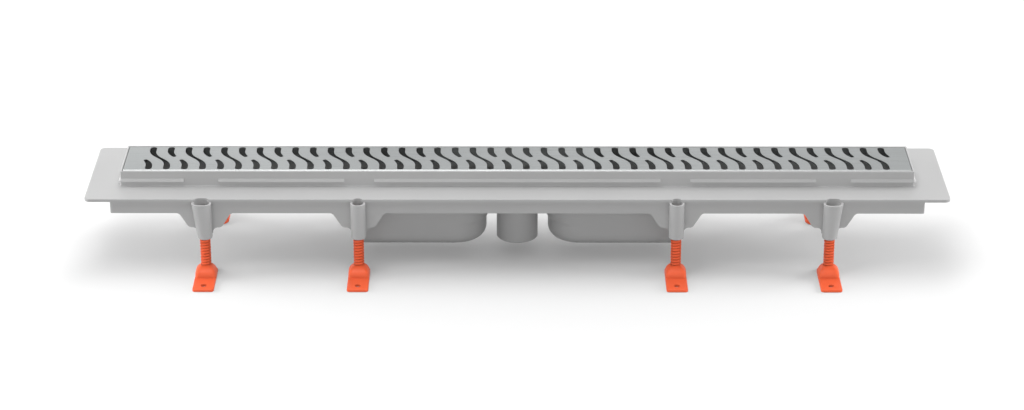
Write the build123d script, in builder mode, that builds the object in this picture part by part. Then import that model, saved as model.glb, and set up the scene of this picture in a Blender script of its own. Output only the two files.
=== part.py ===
from build123d import *
import math
import os

# Shower channel drain. Lengths in millimetres, angles in degrees.
# The origin is on the ground between the feet, under the middle of the channel.
# X runs along the channel, -Y is the front and +Z is up.

# Flange that the floor seal is bonded to
flange_length = 852
flange_width = 134
flange_thickness = 3
flange_corner = 6
flange_edge = 0.8
flange_height = 80

# Collar that stands on the flange round the grate
collar_length = 787
collar_height = 15.7
collar_wall = 1.8
collar_corner = 1.2
collar_foot = 1.2
collar_lip = 0.4

# Rib round the collar, sloped on top and open over each leg
rib_rise = 4.8
rib_height = 3.2
rib_depth = 2
rib_lip = 0.6
rib_gap_inner = 29.4
rib_gap_outer = 34
rib_gap_outer_shift = 5.5

# Trough under the collar: the ledge carries the grate, and the floor falls to the sumps
ledge_width = 3
trough_wall = 2.4
trough_depth_end = 19
trough_depth_middle = 24
trough_slope_margin = 5
trough_round = 4

# Skirt that stiffens the flange from below, with cross ribs to the trough
skirt_side_margin = 3.6
skirt_end_margin = 24.8
skirt_drop = 13.4
skirt_wall = 2.4
skirt_corner = 2
cross_rib_wall = 2
cross_rib_drop = 9

# Sumps, one each side of the outlet
sump_inner_end = 30.9
sump_outer_end = 165
sump_wall = 2.4
sump_bottom = 13.5
sump_round = 12
sump_corner = 8
sump_neck_height = 34.8
sump_neck_rise = 3.2
sump_neck_reach = 1.7

# Outlet spigot and the round seat of the trap seal
outlet_radius = 20.7
outlet_wall = 2.4
outlet_bottom = 12.3
outlet_chamfer = 0.8
seat_radius = 27
seat_depth = 3
seat_wall = 2.4

# Legs: threaded rods in sockets at the edge of the flange
leg_x_outer = 308
leg_x_inner = 156.7
leg_y = 69.5
rod_radius = 5.2
rod_top = 66
rod_chamfer = 0.8
rod_slot_width = 1.8
rod_slot_depth = 2.5
rod_clearance = 0.05

# Sockets and the webs that tie them to the skirt
socket_radius = 7.4
socket_bottom = 40
socket_round = 1.5
socket_lobe = 4.8
socket_lobe_drop = 34
socket_lobe_foot = 0.2
mouth_radius = 5.5
mouth_depth = 10
notch_radius = 5.2
web_top_width = 51
web_bottom_width = 32
web_bottom = 48.3
web_foot_depth = 6
web_round = 5
web_foot_round = 5

# Feet: a rounded block on a base plate with a long toe and a short heel
foot_half_width = 10.5
foot_front = 14.8
foot_height = 10
foot_shoulder = 5
foot_brow = 7.4
foot_floor = 2.5
base_thickness = 2.5
toe_reach = 41
toe_corner = 3
toe_hole_radius = 3
toe_hole_reach = 31.2
heel_reach = 17

# Grate: folded stainless sheet with wave slots
grate_side_gap = 1
grate_end_gap = 0.7
grate_sheet = 1.2
grate_bend = 1.6
grate_height = 16
grate_width = 61.6
slot_pitch = 35.75
slot_count = 21
slot_width = 6.7
slot_waist = 3.6
slot_tail_width = 3.6
slot_margin = 2.1
slot_slant = 40
slot_outer_bend = 26
slot_inner_bend = 24
slot_comma_bend = 24
slot_end_round = 3.2
slot_tail_round = 1.7
slot_comma_rise = 2.9
slot_tail_length = 12

# Odour trap: a loose duct over the outlet with a leg down into each sump
trap_length = 160
trap_width = 51
trap_wall = 1.6
trap_height = 17.7
trap_floor_gap = 0.3
trap_leg_length = 28
trap_leg_bottom = 30
trap_corner = 3
trap_seat_clearance = 1
trap_spigot_length = 12
trap_spigot_clearance = 0.3
seal_height = 2
seal_clearance = 0.3

# Heights and outlines that follow
flange_bottom = flange_height - flange_thickness
collar_top = flange_height + collar_height
cavity_width = grate_width + 2 * grate_side_gap
cavity_length = collar_length - 2 * collar_wall
collar_width = cavity_width + 2 * collar_wall
trough_inner_length = cavity_length - 2 * ledge_width
trough_inner_width = cavity_width - 2 * ledge_width
trough_outer_length = trough_inner_length + 2 * trough_wall
trough_outer_width = trough_inner_width + 2 * trough_wall
trough_floor = flange_height - trough_depth_middle
skirt_length = flange_length - 2 * skirt_end_margin
skirt_width = flange_width - 2 * skirt_side_margin
skirt_bottom = flange_bottom - skirt_drop
outlet_bore = outlet_radius - outlet_wall
seat_floor = trough_floor - seat_depth
legs = [
    (f"{row}_{number + 1}", side_x * leg_x, side_y)
    for row, side_y in (("front", -1), ("back", 1))
    for number, (side_x, leg_x) in enumerate(
        ((-1, leg_x_outer), (-1, leg_x_inner), (1, leg_x_inner), (1, leg_x_outer))
    )
]


def trough_form(length, width, wall, corner):
    """Trough lofted from its shallow ends to its deep middle, up to the top of the flange."""
    flat_end = sump_outer_end + trough_slope_margin
    with BuildPart() as form:
        for x, depth in (
            (-length / 2, trough_depth_end),
            (-flat_end, trough_depth_middle),
            (flat_end, trough_depth_middle),
            (length / 2, trough_depth_end),
        ):
            with BuildSketch(Plane.YZ.offset(x)) as section:
                with Locations((0, flange_height)):
                    Rectangle(width, depth + wall, align=(Align.CENTER, Align.MAX))
                fillet(section.vertices().group_by(Axis.Y)[0], corner)
        loft(ruled=True)
    return form.part


def sump_plan(side, height, inset, reach):
    """Plan of a sump: round towards the outlet, square with eased corners at its far end."""
    half = trough_outer_width / 2 - inset
    centre = sump_inner_end + trough_outer_width / 2 - reach
    far = sump_outer_end - inset
    with BuildSketch(Plane((0, 0, height), x_dir=(side, 0, 0), z_dir=(0, 0, 1))) as plan:
        with BuildLine():
            corners = (centre, half), (far, half), (far, -half), (centre, -half)
            FilletPolyline(*corners, radius=sump_corner - inset)
            ThreePointArc((centre, -half), (centre - half, 0), (centre, half))
        make_face()
    return plan.sketch


def sump_form(side, inset, top):
    """A sump as one solid: its outside, or its inside when the wall is given as the inset."""
    neck_top = sump_neck_height + sump_neck_rise
    neck_plans = [
        sump_plan(side, sump_neck_height, inset, 0),
        sump_plan(side, neck_top, inset, sump_neck_reach),
    ]
    with BuildPart() as bowl:
        extrude(neck_plans[0], amount=sump_bottom + inset - sump_neck_height)
        fillet(bowl.edges().group_by(Axis.Z)[0], sump_round - inset)
        loft(neck_plans)
        extrude(neck_plans[1], amount=top - neck_top)
    return bowl.part


def lobe_reach(x):
    """The outer sockets are drawn out towards the ends of the channel, the inner ones are round."""
    return math.copysign(socket_lobe, x) if abs(x) == leg_x_outer else 0


def socket_lobe_form(x, side, radius, depth):
    """Tapered lobe of an outer socket, from a slot shape at its top to almost a circle."""
    reach = lobe_reach(x)
    with BuildPart() as lobe:
        for drop, share in ((0, 1), (depth, socket_lobe_foot / socket_lobe)):
            with BuildSketch(Plane.XY.offset(flange_bottom - drop)):
                with Locations((x + reach * share / 2, side * leg_y)):
                    SlotCenterToCenter(abs(reach) * share, 2 * radius)
        loft()
    return lobe.part


def collar_rib():
    """Rib round the collar: its underside is flat and its top slopes up to the collar's wall."""
    lower = flange_height + rib_rise
    rib_length = collar_length + 2 * rib_depth
    rib_width = collar_width + 2 * rib_depth
    with BuildPart() as rib:
        with BuildSketch(Plane.XY.offset(lower)):
            RectangleRounded(rib_length, rib_width, collar_corner + rib_depth)
        extrude(amount=rib_lip)
        with BuildSketch(Plane.XY.offset(lower + rib_lip)):
            RectangleRounded(rib_length, rib_width, collar_corner + rib_depth)
        with BuildSketch(Plane.XY.offset(lower + rib_height)):
            RectangleRounded(collar_length, collar_width, collar_corner)
        loft()
        with BuildSketch(Plane.XY.offset(lower)):
            gaps = (leg_x_inner, rib_gap_inner), (leg_x_outer + rib_gap_outer_shift, rib_gap_outer)
            for x, gap in gaps:
                with Locations((x, 0), (-x, 0)):
                    Rectangle(gap, rib_width)
        extrude(amount=rib_height, mode=Mode.SUBTRACT)
    return rib.part


def web(x, side):
    """Web under the skirt at one leg, narrowing downwards and running on behind the socket."""
    plane = Plane((x, side * skirt_width / 2, 0), x_dir=(-side, 0, 0), z_dir=(0, side, 0))
    outline = [
        (web_top_width / 2 + 2 * web_round, skirt_bottom + web_round),
        (web_top_width / 2 + 2 * web_round, skirt_bottom),
        (web_top_width / 2, skirt_bottom),
        (web_bottom_width / 2, web_bottom),
        (socket_radius, web_bottom),
        (socket_radius, web_bottom - web_foot_depth),
    ]
    mirrored = [(-across, up) for across, up in reversed(outline)]
    rounds = [0, 0, web_round, web_round, web_foot_round, 0]
    with BuildPart() as panel:
        with BuildSketch(plane):
            with BuildLine():
                FilletPolyline(*outline, *mirrored, radius=rounds + rounds[::-1], close=True)
            make_face()
        extrude(amount=-skirt_wall)
    return panel.part


def slot(corners, rounds):
    """One slot through its corner points, each rounded by its own radius."""
    with BuildSketch() as opening:
        with BuildLine():
            FilletPolyline(*corners, radius=rounds, close=True)
        make_face()
    return opening.sketch


def wave_slots(height):
    """Wave pattern: a long S in each pitch, with half a wave above its tail and below its head."""
    half = slot_width / 2
    end = grate_width / 2 - slot_margin
    run_x = math.sin(math.radians(slot_slant))
    run_y = -math.cos(math.radians(slot_slant))
    head = -slot_pitch / 4

    outer_knee = -((slot_pitch / 2 + slot_width) * run_y + slot_waist) / (2 * run_x)
    inner_knee = outer_knee + (slot_waist + slot_width * run_y) / run_x
    wave = [
        (head + half, end),
        (head - half, end),
        (head - half, outer_knee),
        (-head - half, -inner_knee),
    ]
    wave += [(-across, -up) for across, up in wave]
    wave_rounds = [slot_end_round, slot_end_round, slot_outer_bend, slot_inner_bend] * 2

    tail_x = slot_tail_length * run_x - half
    tail_y = outer_knee + slot_tail_length * run_y
    comma = [
        (half, end),
        (-half, end),
        (-half, outer_knee),
        (tail_x, tail_y),
        (tail_x - slot_tail_width * run_y, tail_y + slot_tail_width * run_x),
        (half, outer_knee + slot_comma_rise),
    ]
    comma_rounds = [slot_end_round, slot_end_round, slot_outer_bend]
    comma_rounds += [slot_tail_round, slot_tail_round, slot_comma_bend]

    first = -(slot_count - 1) * slot_pitch / 2
    with BuildSketch(Plane.XY.offset(height)) as pattern:
        for number in range(slot_count):
            middle = first + number * slot_pitch
            add(slot([(middle + across, up) for across, up in wave], wave_rounds))
            for turn in (1, -1):
                centre = middle - turn * head
                add(slot([(centre + turn * across, turn * up) for across, up in comma], comma_rounds))
    return pattern.sketch


# The channel is one moulding: flange, collar, trough, sumps, outlet, skirt and sockets
with BuildPart() as channel_body:
    with BuildSketch(Plane.XY.offset(flange_bottom)):
        RectangleRounded(flange_length, flange_width, flange_corner)
    extrude(amount=flange_thickness)
    fillet(channel_body.faces().sort_by(Axis.Z)[-1].edges(), flange_edge)
    with BuildSketch(Plane.XY.offset(flange_bottom)):
        RectangleRounded(skirt_length, skirt_width, skirt_corner)
        Rectangle(skirt_length - 2 * skirt_wall, skirt_width - 2 * skirt_wall, mode=Mode.SUBTRACT)
    extrude(amount=-skirt_drop)

    # Cross ribs in the middle and at the legs
    with BuildSketch(Plane.XY.offset(flange_bottom)):
        with Locations(*((x, 0) for x in (0, leg_x_inner, -leg_x_inner, leg_x_outer, -leg_x_outer))):
            Rectangle(cross_rib_wall, skirt_width - 2 * skirt_wall)
    extrude(amount=-cross_rib_drop)

    # Trough, sumps, outlet and the boss of the seal seat, still solid
    add(trough_form(trough_outer_length, trough_outer_width, trough_wall, trough_round + trough_wall))
    add([sump_form(side, 0, flange_bottom) for side in (-1, 1)])
    with BuildSketch(Plane.XY.offset(trough_floor)):
        Circle(seat_radius + seat_wall)
    extrude(amount=-seat_depth - seat_wall)
    with BuildSketch(Plane.XY.offset(outlet_bottom)):
        Circle(outlet_radius)
    extrude(amount=trough_floor - outlet_bottom)
    chamfer(channel_body.faces().sort_by(Axis.Z)[0].outer_wire().edges(), outlet_chamfer)

    # Leg sockets with their webs
    for name, x, side in legs:
        add(web(x, side))
        with BuildSketch(Plane.XY.offset(socket_bottom)):
            with Locations((x, side * leg_y)):
                Circle(socket_radius)
        extrude(amount=flange_bottom - socket_bottom)
        if lobe_reach(x):
            add(socket_lobe_form(x, side, socket_radius, socket_lobe_drop))
    rims = channel_body.faces().filter_by_position(Axis.Z, socket_bottom, socket_bottom)
    fillet(rims.edges(), socket_round)

    # Collar with its rib, rounded into the flange at its foot
    with BuildSketch(Plane.XY.offset(flange_height)):
        RectangleRounded(collar_length, collar_width, collar_corner)
    extrude(amount=collar_height)
    flange_face = channel_body.faces().filter_by_position(Axis.Z, flange_height, flange_height)[0]
    fillet(flange_face.inner_wires()[0].edges(), collar_foot)
    add(collar_rib())

    # Hollow inside: collar, trough, sumps, seal seat and outlet
    with BuildSketch(Plane.XY.offset(collar_top)):
        Rectangle(cavity_length, cavity_width)
    extrude(amount=-collar_height, mode=Mode.SUBTRACT)
    add(trough_form(trough_inner_length, trough_inner_width, 0, trough_round), mode=Mode.SUBTRACT)
    add([sump_form(side, sump_wall, flange_height) for side in (-1, 1)], mode=Mode.SUBTRACT)
    with BuildSketch(Plane.XY.offset(trough_floor + trough_round)):
        Circle(seat_radius)
    extrude(amount=-seat_depth - trough_round, mode=Mode.SUBTRACT)
    with BuildSketch(Plane.XY.offset(outlet_bottom)):
        Circle(outlet_bore)
    extrude(amount=trough_floor - outlet_bottom, mode=Mode.SUBTRACT)
    fillet(channel_body.edges().filter_by_position(Axis.Z, collar_top, collar_top), collar_lip)

    # Bores of the sockets, their wider mouths and the notches in the flange's edge above them
    for name, x, side in legs:
        with BuildSketch(Plane.XY.offset(socket_bottom)):
            with Locations((x, side * leg_y)):
                Circle(rod_radius + rod_clearance)
        extrude(amount=flange_bottom - socket_bottom, mode=Mode.SUBTRACT)
        reach = lobe_reach(x)
        if reach:
            add(socket_lobe_form(x, side, mouth_radius, mouth_depth), mode=Mode.SUBTRACT)
        else:
            with BuildSketch(Plane.XY.offset(flange_bottom)):
                with Locations((x, side * leg_y)):
                    Circle(mouth_radius)
            extrude(amount=-mouth_depth, mode=Mode.SUBTRACT)
        with BuildSketch(Plane.XY.offset(flange_bottom)):
            with Locations((x, side * leg_y), (x + reach, side * leg_y)):
                Circle(notch_radius)
            if reach:
                with Locations((x + reach / 2, side * leg_y)):
                    Rectangle(abs(reach), 2 * notch_radius)
        extrude(amount=flange_thickness, mode=Mode.SUBTRACT)

# Grate: its long edges are folded down and stand on the ledge inside the collar
with BuildPart() as grate:
    grate_length = cavity_length - 2 * grate_end_gap
    grate_top = flange_height + grate_height
    with BuildSketch(Plane.YZ.offset(-grate_length / 2)) as fold:
        with Locations((0, grate_top)):
            Rectangle(grate_width, grate_height, align=(Align.CENTER, Align.MAX))
        fillet(fold.vertices().group_by(Axis.Y)[-1], grate_bend)
    extrude(amount=grate_length)
    with BuildSketch(Plane.YZ.offset(-grate_length / 2)) as hollow:
        with Locations((0, grate_top - grate_sheet)):
            Rectangle(grate_width - 2 * grate_sheet, grate_height, align=(Align.CENTER, Align.MAX))
        fillet(hollow.vertices().group_by(Axis.Y)[-1], grate_bend - grate_sheet)
    extrude(amount=grate_length, mode=Mode.SUBTRACT)
    extrude(wave_slots(grate_top), amount=-grate_bend, mode=Mode.SUBTRACT)

# Trap: the duct stands on its seal in the round seat, and its spigot centres it in the outlet
with BuildPart() as trap_insert:
    duct_bottom = trough_floor + trap_floor_gap
    duct_top = duct_bottom + trap_height
    boss_bottom = seat_floor + seal_height
    spigot_radius = outlet_bore - trap_spigot_clearance
    leg_centre = (trap_length - trap_leg_length) / 2
    with BuildSketch(Plane.XY.offset(duct_bottom)):
        RectangleRounded(trap_length, trap_width, trap_corner)
    extrude(amount=trap_height)
    with BuildSketch(Plane.XY.offset(trap_leg_bottom)):
        with Locations((-leg_centre, 0), (leg_centre, 0)):
            RectangleRounded(trap_leg_length, trap_width, trap_corner)
    extrude(amount=duct_bottom - trap_leg_bottom)
    with BuildSketch(Plane.XY.offset(boss_bottom)):
        Circle(seat_radius - trap_seat_clearance)
    extrude(amount=duct_bottom - boss_bottom)
    with BuildSketch(Plane.XY.offset(boss_bottom)):
        Circle(spigot_radius)
    extrude(amount=-trap_spigot_length)
    with BuildSketch(Plane.XY.offset(duct_bottom + trap_wall)):
        RectangleRounded(trap_length - 2 * trap_wall, trap_width - 2 * trap_wall, trap_corner - trap_wall)
    extrude(amount=trap_height - 2 * trap_wall, mode=Mode.SUBTRACT)
    with BuildSketch(Plane.XY.offset(trap_leg_bottom)):
        with Locations((-leg_centre, 0), (leg_centre, 0)):
            RectangleRounded(
                trap_leg_length - 2 * trap_wall, trap_width - 2 * trap_wall, trap_corner - trap_wall
            )
    extrude(amount=duct_bottom + trap_wall - trap_leg_bottom, mode=Mode.SUBTRACT)
    with BuildSketch(Plane.XY.offset(duct_bottom + trap_wall)):
        Circle(spigot_radius - trap_wall)
    extrude(amount=boss_bottom - trap_spigot_length - duct_bottom - trap_wall, mode=Mode.SUBTRACT)

# Flat rubber ring between the trap and its seat
with BuildPart() as trap_seal:
    with BuildSketch(Plane.XY.offset(seat_floor)):
        Circle(seat_radius - seal_clearance)
        Circle(outlet_bore + seal_clearance, mode=Mode.SUBTRACT)
    extrude(amount=seal_height)

pieces = {
    "channel_body": channel_body.part,
    "grate": grate.part,
    "trap_insert": trap_insert.part,
    "trap_seal": trap_seal.part,
}

for name, x, side in legs:
    # Rod: its thread runs in the socket, and a slot in its top takes a screwdriver
    with BuildPart() as rod:
        with BuildSketch(Plane((x, side * leg_y, foot_floor + rod_clearance))):
            Circle(rod_radius)
        extrude(amount=rod_top - foot_floor - rod_clearance)
        chamfer(rod.faces().filter_by(Axis.Z).edges(), rod_chamfer)
        with BuildSketch(Plane((x, side * leg_y, rod_top))):
            Rectangle(2 * rod_radius, rod_slot_width)
        extrude(amount=-rod_slot_depth, mode=Mode.SUBTRACT)
    pieces[f"rod_{name}"] = rod.part

    # Foot: the toe points outwards and is screwed down through its hole
    ground = Plane((x, side * leg_y, 0), x_dir=(-side, 0, 0), z_dir=(0, 0, 1))
    from_front = Plane(ground.origin, x_dir=(-side, 0, 0), z_dir=(0, side, 0))
    from_side = Plane(ground.origin, x_dir=(0, -side, 0), z_dir=(-side, 0, 0))
    with BuildPart() as foot:
        with BuildSketch(ground):
            Circle(foot_half_width)
            Rectangle(2 * foot_half_width, foot_front, align=(Align.CENTER, Align.MAX))
        extrude(amount=foot_height)
        with BuildSketch(from_front) as arch:
            Rectangle(2 * foot_half_width, foot_height, align=(Align.CENTER, Align.MIN))
            fillet(arch.vertices().group_by(Axis.Y)[-1], foot_shoulder)
        extrude(amount=foot_front, both=True, mode=Mode.INTERSECT)
        with BuildSketch(from_side) as brow:
            with Locations((-foot_front, 0)):
                Rectangle(foot_front + foot_half_width, foot_height, align=(Align.MIN, Align.MIN))
            fillet(brow.vertices().group_by(Axis.Y)[-1], foot_brow)
        extrude(amount=foot_half_width, both=True, mode=Mode.INTERSECT)
        with BuildSketch(ground) as base:
            Rectangle(2 * foot_half_width, toe_reach, align=(Align.CENTER, Align.MAX))
            fillet(base.vertices().group_by(Axis.Y)[0], toe_corner)
            Rectangle(2 * foot_half_width, heel_reach - foot_half_width, align=(Align.CENTER, Align.MIN))
            with Locations((0, heel_reach - foot_half_width)):
                Circle(foot_half_width)
            with Locations((0, -toe_hole_reach)):
                Circle(toe_hole_radius, mode=Mode.SUBTRACT)
        extrude(amount=base_thickness)
        with BuildSketch(ground.offset(foot_floor)):
            Circle(rod_radius + rod_clearance)
        extrude(amount=foot_height - foot_floor, mode=Mode.SUBTRACT)
    pieces[f"foot_{name}"] = foot.part

os.makedirs("parts", exist_ok=True)
for name, piece in pieces.items():
    piece.label = name
    export_step(piece, f"parts/{name}.step")
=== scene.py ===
import math
import bpy
from mathutils import Matrix, Vector


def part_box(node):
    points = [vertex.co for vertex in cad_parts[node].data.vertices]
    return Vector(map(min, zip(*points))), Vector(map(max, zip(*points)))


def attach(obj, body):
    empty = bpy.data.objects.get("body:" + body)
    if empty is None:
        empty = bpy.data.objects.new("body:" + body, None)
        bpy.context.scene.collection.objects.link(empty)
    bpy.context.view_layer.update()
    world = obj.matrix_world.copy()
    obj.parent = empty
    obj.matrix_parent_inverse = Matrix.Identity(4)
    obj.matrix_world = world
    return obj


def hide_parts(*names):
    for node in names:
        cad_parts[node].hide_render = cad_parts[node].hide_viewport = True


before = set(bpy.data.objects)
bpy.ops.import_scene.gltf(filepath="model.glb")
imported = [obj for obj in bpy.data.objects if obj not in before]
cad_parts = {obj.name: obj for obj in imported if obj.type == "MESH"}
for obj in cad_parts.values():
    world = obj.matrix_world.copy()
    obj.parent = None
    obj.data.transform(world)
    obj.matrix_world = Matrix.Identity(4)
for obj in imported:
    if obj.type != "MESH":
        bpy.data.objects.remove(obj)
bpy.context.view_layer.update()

# Channel body
# One injection moulding in light grey ABS: flange, collar, trough, sumps,
# outlet spigot, skirt and leg sockets. The tool leaves a fine satin grain.
skin_group = bpy.data.node_groups.new("Moulded skin", "ShaderNodeTree")
for label, kind, value in (
    ("Colour", "NodeSocketColor", (0.6, 0.6, 0.6, 1)),
    ("Mottle", "NodeSocketFloat", 0.03),
    ("Roughness", "NodeSocketFloat", 0.45),
):
    socket = skin_group.interface.new_socket(label, in_out="INPUT", socket_type=kind)
    socket.default_value = value
for label, kind in (
    ("Colour", "NodeSocketColor"),
    ("Roughness", "NodeSocketFloat"),
    ("Height", "NodeSocketFloat"),
):
    skin_group.interface.new_socket(label, in_out="OUTPUT", socket_type=kind)
skin = skin_group.nodes
skin_link = skin_group.links.new
skin_in = skin.new("NodeGroupInput")
skin_out = skin.new("NodeGroupOutput")
place = skin.new("ShaderNodeTexCoord")

# Slow drift of shade where the melt flowed and cooled unevenly
flow = skin.new("ShaderNodeTexNoise")
flow.inputs["Scale"].default_value = 14
flow.inputs["Detail"].default_value = 4
skin_link(place.outputs["Object"], flow.inputs["Vector"])
drift = skin.new("ShaderNodeMapRange")
drift.inputs["From Min"].default_value = 0.3
drift.inputs["From Max"].default_value = 0.7
skin_link(flow.outputs["Fac"], drift.inputs["Value"])
darker = skin.new("ShaderNodeMath")
darker.operation = "SUBTRACT"
darker.inputs[0].default_value = 1
skin_link(skin_in.outputs["Mottle"], darker.inputs[1])
skin_link(darker.outputs[0], drift.inputs["To Min"])
drift.inputs["To Max"].default_value = 1
shade = skin.new("ShaderNodeVectorMath")
shade.operation = "SCALE"
skin_link(skin_in.outputs["Colour"], shade.inputs[0])
skin_link(drift.outputs["Result"], shade.inputs["Scale"])
skin_link(shade.outputs["Vector"], skin_out.inputs["Colour"])

# Fine grain of the tool steel
grain = skin.new("ShaderNodeTexNoise")
grain.inputs["Scale"].default_value = 1500
grain.inputs["Detail"].default_value = 3
skin_link(place.outputs["Object"], grain.inputs["Vector"])
skin_link(grain.outputs["Fac"], skin_out.inputs["Height"])
gloss = skin.new("ShaderNodeMath")
gloss.operation = "MULTIPLY_ADD"
gloss.inputs[1].default_value = 0.16
skin_link(flow.outputs["Fac"], gloss.inputs[0])
skin_link(skin_in.outputs["Roughness"], gloss.inputs[2])
skin_link(gloss.outputs[0], skin_out.inputs["Roughness"])

# Sockets of a Mix node that mixes colours: its factor, A and B, and what it gives
mix_factor, mix_a, mix_b, mix_result = 0, 6, 7, 2


def moulded(name, colour, mottle, roughness, grain_depth, thrown=None):
    """Moulded plastic or rubber. It casts the colour thrown on what stands near it."""
    material = bpy.data.materials.new(name)
    material.use_nodes = True
    nodes, link = material.node_tree.nodes, material.node_tree.links.new
    surface = nodes.new("ShaderNodeGroup")
    surface.node_tree = skin_group
    surface.inputs["Colour"].default_value = (*colour, 1)
    surface.inputs["Mottle"].default_value = mottle
    surface.inputs["Roughness"].default_value = roughness
    bump = nodes.new("ShaderNodeBump")
    bump.inputs["Distance"].default_value = grain_depth
    shader = nodes["Principled BSDF"]
    link(surface.outputs["Colour"], shader.inputs["Base Color"])
    link(surface.outputs["Roughness"], shader.inputs["Roughness"])
    link(surface.outputs["Height"], bump.inputs["Height"])
    link(bump.outputs["Normal"], shader.inputs["Normal"])
    if thrown:
        path = nodes.new("ShaderNodeLightPath")
        cast = nodes.new("ShaderNodeMix")
        cast.data_type = "RGBA"
        cast.inputs[mix_b].default_value = (*thrown, 1)
        link(path.outputs["Is Diffuse Ray"], cast.inputs[mix_factor])
        link(surface.outputs["Colour"], cast.inputs[mix_a])
        link(cast.outputs[mix_result], shader.inputs["Base Color"])
    return material


def finish_node(name, material):
    """The CAD part keeps its shape and takes this finish."""
    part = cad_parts[name]
    part.data.materials.clear()
    part.data.materials.append(material)


grey = moulded(
    "Grey ABS",
    colour=(0.465, 0.465, 0.465),
    mottle=0.04,
    roughness=0.42,
    grain_depth=0.00003,
    thrown=(0.56, 0.56, 0.56),
)
finish_node("channel_body", grey)

# Trap seal and trap insert
# A flat black rubber ring lies in the round seat over the outlet, and the
# moulded trap stands on it with a leg down into each sump.
rubber = moulded(
    "Seal rubber",
    colour=(0.035, 0.035, 0.036),
    mottle=0.2,
    roughness=0.6,
    grain_depth=0.00004,
)
finish_node("trap_seal", rubber)
white = moulded(
    "Trap plastic",
    colour=(0.8, 0.8, 0.79),
    mottle=0.06,
    roughness=0.4,
    grain_depth=0.00003,
)
finish_node("trap_insert", white)

# Grate
# Stainless steel sheet, laser cut with wave slots, brushed along its length
# and folded down on both long sides. It lies loose on the trough's ledge.
steel = bpy.data.materials.new("Brushed stainless")
steel.use_nodes = True
nodes, link = steel.node_tree.nodes, steel.node_tree.links.new
shader = nodes["Principled BSDF"]
shader.inputs["Metallic"].default_value = 1

# Brush strokes: noise drawn out about a hundred times along the sheet
place = nodes.new("ShaderNodeTexCoord")
along = nodes.new("ShaderNodeMapping")
along.inputs["Scale"].default_value = (14, 1500, 1500)
strokes = nodes.new("ShaderNodeTexNoise")
strokes.inputs["Scale"].default_value = 1
strokes.inputs["Detail"].default_value = 5
strokes.inputs["Roughness"].default_value = 0.6
link(place.outputs["Object"], along.inputs["Vector"])
link(along.outputs["Vector"], strokes.inputs["Vector"])
cloud = nodes.new("ShaderNodeTexNoise")
cloud.inputs["Scale"].default_value = 11
cloud.inputs["Detail"].default_value = 3
link(place.outputs["Object"], cloud.inputs["Vector"])
tone = nodes.new("ShaderNodeMath")
tone.operation = "MULTIPLY_ADD"
tone.inputs[1].default_value = 0.35
link(cloud.outputs["Fac"], tone.inputs[0])
link(strokes.outputs["Fac"], tone.inputs[2])
colours = nodes.new("ShaderNodeValToRGB")
colours.color_ramp.elements[0].position = 0.4
colours.color_ramp.elements[0].color = (0.256, 0.268, 0.269, 1)
colours.color_ramp.elements[1].position = 0.95
colours.color_ramp.elements[1].color = (0.37, 0.384, 0.385, 1)
link(tone.outputs[0], colours.inputs["Fac"])

# The outside of the bend is painted brighter than the sheet: a painted highlight along
# the fold, standing in for the light that the bend catches. It is found by its slanted
# normal.
facing = nodes.new("ShaderNodeSeparateXYZ")
link(place.outputs["Normal"], facing.inputs[0])
sideways = nodes.new("ShaderNodeMath")
sideways.operation = "ABSOLUTE"
link(facing.outputs["Y"], sideways.inputs[0])
on_bend = nodes.new("ShaderNodeMath")
on_bend.operation = "MULTIPLY"
link(sideways.outputs[0], on_bend.inputs[0])
link(facing.outputs["Z"], on_bend.inputs[1])
painted_fold_highlight = nodes.new("ShaderNodeMapRange")
painted_fold_highlight.inputs["From Min"].default_value = 0.05
painted_fold_highlight.inputs["From Max"].default_value = 0.35
link(on_bend.outputs[0], painted_fold_highlight.inputs["Value"])
highlighted_fold = nodes.new("ShaderNodeMix")
highlighted_fold.data_type = "RGBA"
# Brighter colour of the painted highlight on the fold
highlighted_fold.inputs[mix_b].default_value = (0.43, 0.44, 0.437, 1)
link(painted_fold_highlight.outputs["Result"], highlighted_fold.inputs[mix_factor])
link(colours.outputs["Color"], highlighted_fold.inputs[mix_a])
link(highlighted_fold.outputs[mix_result], shader.inputs["Base Color"])
polish = nodes.new("ShaderNodeMapRange")
polish.inputs["From Min"].default_value = 0.3
polish.inputs["From Max"].default_value = 0.7
polish.inputs["To Min"].default_value = 0.26
polish.inputs["To Max"].default_value = 0.4
link(strokes.outputs["Fac"], polish.inputs["Value"])
link(polish.outputs["Result"], shader.inputs["Roughness"])
scratch = nodes.new("ShaderNodeBump")
scratch.inputs["Strength"].default_value = 0.35
scratch.inputs["Distance"].default_value = 0.00001
link(strokes.outputs["Fac"], scratch.inputs["Height"])
link(scratch.outputs["Normal"], shader.inputs["Normal"])

# The strokes run along the length, so highlights spread across them
shader.inputs["Anisotropic"].default_value = 0.55
shader.inputs["Anisotropic Rotation"].default_value = 0.25
length_way = nodes.new("ShaderNodeVectorTransform")
length_way.inputs["Vector"].default_value = (1, 0, 0)
length_way.convert_from = "OBJECT"
length_way.convert_to = "WORLD"
link(length_way.outputs["Vector"], shader.inputs["Tangent"])
finish_node("grate", steel)

# Threaded rods of the legs
# Orange moulded screws, 10.4 mm over a coarse right-hand thread of 3 mm
# pitch. They turn in the sockets, by a screwdriver slot in the top.
thread_pitch = 0.003
thread_depth = 0.0016
end_chamfer = 0.0008
driver_slot_width = 0.0018
driver_slot_depth = 0.0025
sides_round_rod = 40
rings_per_turn = 16
orange_look = {
    "colour": (1, 0.138, 0.044),
    "mottle": 0.05,
    "roughness": 0.4,
    "grain_depth": 0.00002,
    "thrown": (0.42, 0.36, 0.35),
}
orange = moulded("Orange plastic", **orange_look)
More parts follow.
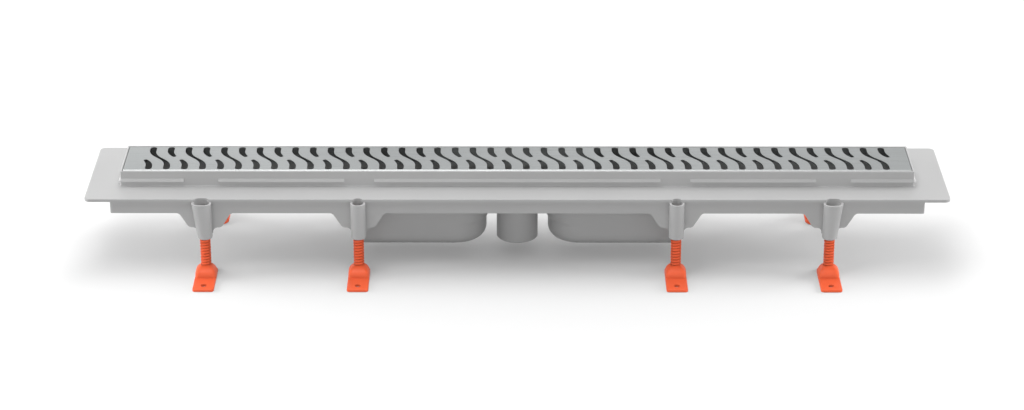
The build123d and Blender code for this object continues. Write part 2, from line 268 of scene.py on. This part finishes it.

# Painted shade: the root of the thread is painted a darker orange than the crest, for
# the shade that falls in the groove
threaded_orange = moulded("Threaded orange plastic", **orange_look)
nodes, link = threaded_orange.node_tree.nodes, threaded_orange.node_tree.links.new
root = nodes.new("ShaderNodeAttribute")
root.attribute_name = "thread_root"
painted_root_shade = nodes.new("ShaderNodeMapRange")
painted_root_shade.inputs["To Min"].default_value = 1
painted_root_shade.inputs["To Max"].default_value = 0.74
link(root.outputs["Fac"], painted_root_shade.inputs["Value"])
darken = nodes.new("ShaderNodeVectorMath")
darken.operation = "SCALE"
shader = nodes["Principled BSDF"]
link(shader.inputs["Base Color"].links[0].from_socket, darken.inputs[0])
link(painted_root_shade.outputs["Result"], darken.inputs["Scale"])
link(darken.outputs["Vector"], shader.inputs["Base Color"])

thread_tree = bpy.data.node_groups.new("Threaded rod", "GeometryNodeTree")
thread_tree.interface.new_socket(
    "Geometry", in_out="OUTPUT", socket_type="NodeSocketGeometry"
)
thread_socket = {}
for label, kind in (
    ("Foot of rod", "NodeSocketVector"),
    ("Length", "NodeSocketFloat"),
    ("Radius", "NodeSocketFloat"),
    ("Thread depth", "NodeSocketFloat"),
    ("Pitch", "NodeSocketFloat"),
    ("Chamfer", "NodeSocketFloat"),
    ("Slot width", "NodeSocketFloat"),
    ("Slot depth", "NodeSocketFloat"),
    ("Sides", "NodeSocketInt"),
    ("Rings", "NodeSocketInt"),
    ("Material", "NodeSocketMaterial"),
):
    socket = thread_tree.interface.new_socket(label, in_out="INPUT", socket_type=kind)
    thread_socket[label] = socket.identifier
tree = thread_tree.nodes
join = thread_tree.links.new
given = tree.new("NodeGroupInput")


def rod_math(operation, first, second=None, third=None):
    """A Math node of the rod's tree, on sockets or plain numbers."""
    node = tree.new("ShaderNodeMath")
    node.operation = operation
    for value, pin in zip((first, second, third), node.inputs):
        if isinstance(value, bpy.types.NodeSocket):
            join(value, pin)
        elif value is not None:
            pin.default_value = value
    return node.outputs[0]


# A flat grid is rolled up: across it goes round the rod, along it goes up
step = rod_math("DIVIDE", given.outputs["Length"], given.outputs["Rings"])
grid = tree.new("GeometryNodeMeshGrid")
grid.inputs["Size X"].default_value = 1
join(rod_math("MULTIPLY_ADD", step, 2, given.outputs["Length"]), grid.inputs["Size Y"])
join(rod_math("ADD", given.outputs["Sides"], 1), grid.inputs["Vertices X"])
join(rod_math("ADD", given.outputs["Rings"], 3), grid.inputs["Vertices Y"])
where = tree.new("GeometryNodeInputPosition")
flat = tree.new("ShaderNodeSeparateXYZ")
join(where.outputs[0], flat.inputs[0])
turn = rod_math("MULTIPLY", flat.outputs["X"], 2 * math.pi)
raw_up = rod_math("MULTIPLY_ADD", given.outputs["Length"], 0.5, flat.outputs["Y"])
up = rod_math("MINIMUM", rod_math("MAXIMUM", raw_up, 0), given.outputs["Length"])
past_end = rod_math("ABSOLUTE", rod_math("SUBTRACT", raw_up, up))
on_side = rod_math("LESS_THAN", past_end, rod_math("MULTIPLY", step, 0.5))

# Rounded trapezoid of the thread
turns_up = rod_math("DIVIDE", up, given.outputs["Pitch"])
phase = rod_math("FRACT", rod_math("SUBTRACT", turns_up, flat.outputs["X"]))
off_middle = rod_math("ABSOLUTE", rod_math("SUBTRACT", phase, 0.5))
crest = rod_math("MULTIPLY", off_middle, 2)
flank = tree.new("ShaderNodeMapRange")
flank.interpolation_type = "SMOOTHSTEP"
flank.inputs["From Min"].default_value = 0.22
flank.inputs["From Max"].default_value = 0.55
join(crest, flank.inputs["Value"])
groove = rod_math("SUBTRACT", 1, flank.outputs["Result"])
cut_in = rod_math("MULTIPLY", groove, given.outputs["Thread depth"])
threaded = rod_math("SUBTRACT", given.outputs["Radius"], cut_in)
from_end = rod_math("MINIMUM", up, rod_math("SUBTRACT", given.outputs["Length"], up))
end_radius = rod_math("SUBTRACT", given.outputs["Radius"], given.outputs["Chamfer"])
eased = rod_math("ADD", end_radius, from_end)
radius = rod_math("MULTIPLY", rod_math("MINIMUM", threaded, eased), on_side)
rolled = tree.new("ShaderNodeCombineXYZ")
join(rod_math("MULTIPLY", radius, rod_math("COSINE", turn)), rolled.inputs["X"])
join(rod_math("MULTIPLY", radius, rod_math("SINE", turn)), rolled.inputs["Y"])
join(up, rolled.inputs["Z"])
roll = tree.new("GeometryNodeSetPosition")
join(grid.outputs["Mesh"], roll.inputs["Geometry"])
join(rolled.outputs[0], roll.inputs["Position"])
# The groove is stored as thread_root, for the painted shade in the thread's root
keep_root = tree.new("GeometryNodeStoreNamedAttribute")
keep_root.inputs["Name"].default_value = "thread_root"
join(roll.outputs[0], keep_root.inputs["Geometry"])
join(rod_math("MULTIPLY", groove, on_side), keep_root.inputs["Value"])
close = tree.new("GeometryNodeMergeByDistance")
close.inputs["Distance"].default_value = 0.00001
join(keep_root.outputs[0], close.inputs["Geometry"])

# Screwdriver slot across the top
blade = tree.new("GeometryNodeMeshCube")
blade_size = tree.new("ShaderNodeCombineXYZ")
join(rod_math("MULTIPLY", given.outputs["Radius"], 3), blade_size.inputs["X"])
join(given.outputs["Slot width"], blade_size.inputs["Y"])
join(rod_math("MULTIPLY", given.outputs["Slot depth"], 2), blade_size.inputs["Z"])
join(blade_size.outputs[0], blade.inputs["Size"])
blade_place = tree.new("ShaderNodeCombineXYZ")
join(given.outputs["Length"], blade_place.inputs["Z"])
blade_up = tree.new("GeometryNodeTransform")
join(blade.outputs["Mesh"], blade_up.inputs["Geometry"])
join(blade_place.outputs[0], blade_up.inputs["Translation"])
cut = tree.new("GeometryNodeMeshBoolean")
cut.operation = "DIFFERENCE"
join(close.outputs[0], cut.inputs["Mesh 1"])
join(blade_up.outputs[0], cut.inputs["Mesh 2"])

stand = tree.new("GeometryNodeTransform")
join(cut.outputs["Mesh"], stand.inputs["Geometry"])
join(given.outputs["Foot of rod"], stand.inputs["Translation"])
real = tree.new("GeometryNodeRealizeInstances")
join(stand.outputs[0], real.inputs[0])
dress = tree.new("GeometryNodeSetMaterial")
join(real.outputs[0], dress.inputs["Geometry"])
join(given.outputs["Material"], dress.inputs["Material"])
thread_out = tree.new("NodeGroupOutput")
join(dress.outputs[0], thread_out.inputs[0])

for name in sorted(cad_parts):
    if not name.startswith("rod_"):
        continue
    low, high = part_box(name)
    length = high[2] - low[2]
    radius = (high[0] - low[0]) / 2
    carrier = bpy.data.objects.new("threading", bpy.data.meshes.new("threading"))
    bpy.context.scene.collection.objects.link(carrier)
    threads = carrier.modifiers.new("Threaded rod", "NODES")
    threads.node_group = thread_tree
    for label, value in (
        ("Foot of rod", ((low[0] + high[0]) / 2, (low[1] + high[1]) / 2, low[2])),
        ("Length", length),
        ("Radius", radius),
        ("Thread depth", thread_depth),
        ("Pitch", thread_pitch),
        ("Chamfer", end_chamfer),
        ("Slot width", driver_slot_width),
        ("Slot depth", driver_slot_depth),
        ("Sides", sides_round_rod),
        ("Rings", round(length / thread_pitch * rings_per_turn)),
        ("Material", threaded_orange),
    ):
        threads[thread_socket[label]] = value
    evaluated = carrier.evaluated_get(bpy.context.evaluated_depsgraph_get())
    mesh = bpy.data.meshes.new_from_object(evaluated)
    bpy.data.objects.remove(carrier)
    mesh.polygons.foreach_set("use_smooth", [True] * len(mesh.polygons))
    rod = bpy.data.objects.new(name.replace("rod", "threaded_rod"), mesh)
    bpy.context.scene.collection.objects.link(rod)
    mesh.set_sharp_from_angle(angle=math.radians(50))
    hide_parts(name)
    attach(rod, name)

# Feet
# Moulded in the same orange plastic: a domed block that the rod stands in,
# and a flat toe with a hole, by which the channel is screwed to the subfloor.
foot_half_width = 0.0105
toe_reach = 0.041
toe_corner = 0.003
heel_reach = 0.017
heel_corner = 0.0104
plate_height = 0.0025
plate_edge = 0.0006
plate_crease = 0.0002
block_front = 0.0148
block_inset = 0.00004
block_sunk = 0.0005
block_wall = 0.0008
block_rise = 0.0086
block_fullness = 2.5
block_squareness = 0.36
block_points = 96
rod_hole = 0.00525
screw_reach = 0.0312
screw_hole = 0.0031

# The shapes that cut the two holes reach past the faces that they open
past_block = 0.02
past_plate = 0.001


def corner(x, y, radius, first, last):
    """Points of an arc about (x, y), between two angles in degrees."""
    steps = 10 if last - first < 180 else 48
    turns = [math.radians(first + (last - first) * i / steps) for i in range(steps + 1)]
    return [(x + radius * math.cos(t), y + radius * math.sin(t)) for t in turns]


def skin_over(rings):
    """Closed mesh over flat rings of (points, height) that all have as many points."""
    count = len(rings[0][0])
    points = [(x, y, z) for ring, z in rings for x, y in ring]
    top = len(points) - count
    faces = [tuple(reversed(range(count))), tuple(range(top, len(points)))]
    for low in range(0, top, count):
        for i in range(count):
            j = (i + 1) % count
            faces.append((low + i, low + j, low + count + j, low + count + i))
    mesh = bpy.data.meshes.new("foot")
    mesh.from_pydata(points, [], faces)
    return bpy.data.objects.new("foot", mesh)


def plate_outline(inset):
    """The base plate from above, toe towards -Y, drawn in by the inset."""
    side = foot_half_width - inset
    toe, heel = toe_corner - inset, heel_corner - inset
    toe_y, heel_y = toe_corner - toe_reach, heel_reach - heel_corner
    return (
        corner(side - toe, toe_y, toe, -90, 0)
        + corner(side - heel, heel_y, heel, 0, 90)
        + corner(heel - side, heel_y, heel, 90, 180)
        + corner(toe - side, toe_y, toe, 180, 270)
    )


def block_outline(scale):
    """The block from above: round at the back and squared off towards the toe."""
    half_width = (foot_half_width - block_inset) * scale
    ring = []
    for i in range(block_points):
        turn = 2 * math.pi * i / block_points
        x, y = math.cos(turn), math.sin(turn)
        if y < 0:
            x = math.copysign(abs(x) ** block_squareness, x)
            y = -(abs(y) ** block_squareness) * block_front * scale
        else:
            y = foot_half_width * scale * y
        ring.append((half_width * x, y))
    return ring


# Flat plate with its upper edge rounded over
rings = [(plate_outline(0), 0), (plate_outline(0), plate_height - plate_edge)]
for angle in (30, 60, 90):
    turn = math.radians(angle)
    inset = plate_edge * (1 - math.cos(turn))
    height = plate_height - plate_edge * (1 - math.sin(turn))
    rings.append((plate_outline(inset), height))
rings.append((plate_outline(plate_edge + plate_crease), plate_height))
plate = skin_over(rings)

# Domed block, with a short upright wall at its foot
shoulder = plate_height + block_wall
rings = [(block_outline(1), block_sunk), (block_outline(1), shoulder)]
for angle in range(4, 89, 6):
    turn = math.radians(angle)
    spread = math.cos(turn) ** (2 / block_fullness)
    rise = math.sin(turn) ** (2 / block_fullness)
    rings.append((block_outline(spread), shoulder + block_rise * rise))
block = skin_over(rings)

# Blind hole for the rod's end, and a hole right through the toe for the screw
bore = corner(0, 0, rod_hole, 0, 360)[:-1]
rod_seat = skin_over([(bore, plate_height), (bore, past_block)])
bore = [(x, y - screw_reach) for x, y in corner(0, 0, screw_hole, 0, 360)[:-1]]
screw = skin_over([(bore, -past_plate), (bore, plate_height + past_plate)])
for part in (plate, block, rod_seat, screw):
    bpy.context.scene.collection.objects.link(part)
for operation, tool in (
    ("UNION", block),
    ("DIFFERENCE", rod_seat),
    ("DIFFERENCE", screw),
):
    trim = plate.modifiers.new(operation, "BOOLEAN")
    trim.operation = operation
    trim.solver = "EXACT"
    trim.object = tool
evaluated = plate.evaluated_get(bpy.context.evaluated_depsgraph_get())
foot_shape = bpy.data.meshes.new_from_object(evaluated)
for part in (plate, block, rod_seat, screw):
    bpy.data.objects.remove(part)
foot_shape.materials.clear()
foot_shape.materials.append(orange)
foot_shape.polygons.foreach_set("use_smooth", [True] * len(foot_shape.polygons))
for name in sorted(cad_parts):
    if not name.startswith("foot_"):
        continue
    low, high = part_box("rod" + name[4:])
    axis = Vector(((low[0] + high[0]) / 2, (low[1] + high[1]) / 2, 0))
    mesh = foot_shape.copy()
    if "back" in name:
        mesh.transform(Matrix.Rotation(math.pi, 4, "Z"))
    mesh.transform(Matrix.Translation(axis))
    foot = bpy.data.objects.new(name.replace("foot", "moulded_foot"), mesh)
    bpy.context.scene.collection.objects.link(foot)
    mesh.set_sharp_from_angle(angle=math.radians(35))
    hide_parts(name)
    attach(foot, name)


# Studio
# A pale paper floor under a wide softbox, with low ones on all four sides. The
# floor keeps the soft shadow of the channel.
def seen_directly(nodes, link):
    """1 for what the camera sees, directly or mirrored, and 0 for spread light."""
    path = nodes.new("ShaderNodeLightPath")
    total = path.outputs["Is Camera Ray"]
    for ray in ("Is Glossy Ray", "Is Transmission Ray"):
        add = nodes.new("ShaderNodeMath")
        add.use_clamp = True
        link(total, add.inputs[0])
        link(path.outputs[ray], add.inputs[1])
        total = add.outputs[0]
    return total


floor_mesh = bpy.data.meshes.new("floor")
reach = 4.0
below_feet = -0.0002
corners = [(-reach, -reach), (reach, -reach), (reach, reach), (-reach, reach)]
floor_mesh.from_pydata([(x, y, below_feet) for x, y in corners], [], [(0, 1, 2, 3)])
floor = bpy.data.objects.new("floor", floor_mesh)
bpy.context.scene.collection.objects.link(floor)
paper = bpy.data.materials.new("Floor paper")
paper.use_nodes = True
nodes, link = paper.node_tree.nodes, paper.node_tree.links.new
seen = seen_directly(nodes, link)
pale = nodes.new("ShaderNodeMapRange")
pale.inputs["To Min"].default_value = 0.5
pale.inputs["To Max"].default_value = 0.78
link(seen, pale.inputs["Value"])
glow = nodes.new("ShaderNodeMath")
glow.operation = "MULTIPLY"
glow.inputs[1].default_value = 0.085
link(seen, glow.inputs[0])
shader = nodes["Principled BSDF"]
shader.inputs["Roughness"].default_value = 1
shader.inputs["Specular IOR Level"].default_value = 0
shader.inputs["Emission Color"].default_value = (1, 1, 1, 1)
link(pale.outputs["Result"], shader.inputs["Base Color"])
link(glow.outputs[0], shader.inputs["Emission Strength"])
floor_mesh.materials.append(paper)

world = bpy.data.worlds.new("studio")
bpy.context.scene.world = world
world.use_nodes = True
nodes, link = world.node_tree.nodes, world.node_tree.links.new
level = nodes.new("ShaderNodeMapRange")
level.inputs["To Min"].default_value = 0.41
level.inputs["To Max"].default_value = 1
link(seen_directly(nodes, link), level.inputs["Value"])
sky = nodes["Background"]
sky.inputs["Color"].default_value = (1, 1, 1, 1)
link(level.outputs["Result"], sky.inputs["Strength"])

# Only the overhead softbox and the reflector are mirrored in the part, and the
# reflector gives no light of its own to what isn't glossy
mirrored = ("overhead softbox", "left reflector")
aim = Vector((0, 0, 0.08))
for label, place, sides, power in (
    ("overhead softbox", (-0.2, 0.12, 1.8), (2.8, 0.8), 21.5),
    ("left softbox", (-1.7, 0.2, 0.42), (1.2, 0.8), 21),
    ("right softbox", (1.7, 0.2, 0.42), (1.2, 0.8), 22.5),
    ("front softbox", (0, -2.2, 0.6), (2.4, 0.9), 10),
    ("back softbox", (0, 1.9, 0.9), (3.0, 0.9), 7),
    ("left reflector", (-1.45, 2.5, 1.18), (2.4, 0.9), 5.5),
):
    lamp = bpy.data.lights.new(label, "AREA")
    lamp.shape = "RECTANGLE"
    lamp.size, lamp.size_y = sides
    lamp.energy = power
    lamp_object = bpy.data.objects.new(label, lamp)
    bpy.context.scene.collection.objects.link(lamp_object)
    lamp_object.location = place
    away = Vector(place) - aim
    lamp_object.rotation_euler = away.to_track_quat("Z", "Y").to_euler()
    lamp_object.visible_glossy = label in mirrored
    lamp_object.visible_diffuse = label != "left reflector"

camera = bpy.data.cameras.new("camera")
camera.sensor_width = 36
camera.lens = 103.75
camera_object = bpy.data.objects.new("camera", camera)
bpy.context.scene.collection.objects.link(camera_object)
look = math.radians(23.4)
roll = -0.00086
distance = 2.973
target = (-0.0063, 0, 0.0452)
camera_object.location = (
    target[0],
    target[1] - distance * math.cos(look),
    target[2] + distance * math.sin(look),
)
camera_object.rotation_euler = (math.pi / 2 - look, roll, 0)
bpy.context.scene.camera = camera_object
bpy.context.scene.view_settings.view_transform = "Standard"
